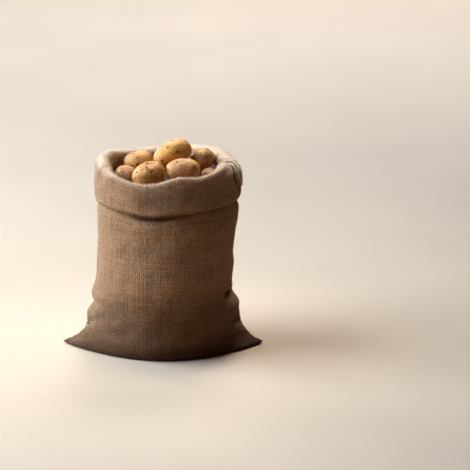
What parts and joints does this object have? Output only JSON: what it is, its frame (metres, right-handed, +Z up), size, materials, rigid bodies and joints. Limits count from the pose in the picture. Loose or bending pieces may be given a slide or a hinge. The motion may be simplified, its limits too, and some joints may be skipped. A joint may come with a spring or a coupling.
{
  "type": "open jute sack filled with potatoes",
  "caption": "Open jute sack standing on its bottom, mouth rolled down into a soft cuff, sewn side seams and flat bottom corners, filled with potatoes that heap above the rim.",
  "frame": {"origin": "on the floor under the middle of the sack", "axes": "+Z up, +X to the right along the bottom fold from corner to corner, +Y to the back"},
  "size_m": [0.466, 0.3252, 0.4833],
  "materials": {
    "jute": "coarse plain-woven natural jute, matt and slightly hairy",
    "potato_skin": null
  },
  "bodies": {
    "root": {"sack_cloth": "jute", "potato_bed": "potato_skin", "potato_01": "potato_skin", "potato_02": "potato_skin", "potato_03": "potato_skin", "potato_04": "potato_skin", "potato_05": "potato_skin", "potato_06": "potato_skin", "potato_07": "potato_skin", "potato_08": "potato_skin", "potato_09": "potato_skin", "potato_10": "potato_skin", "potato_11": "potato_skin", "potato_12": "potato_skin", "potato_13": "potato_skin", "potato_14": "potato_skin", "potato_15": "potato_skin", "potato_16": "potato_skin", "potato_17": "potato_skin", "potato_18": "potato_skin", "potato_19": "potato_skin"}
  },
  "joints": []
}
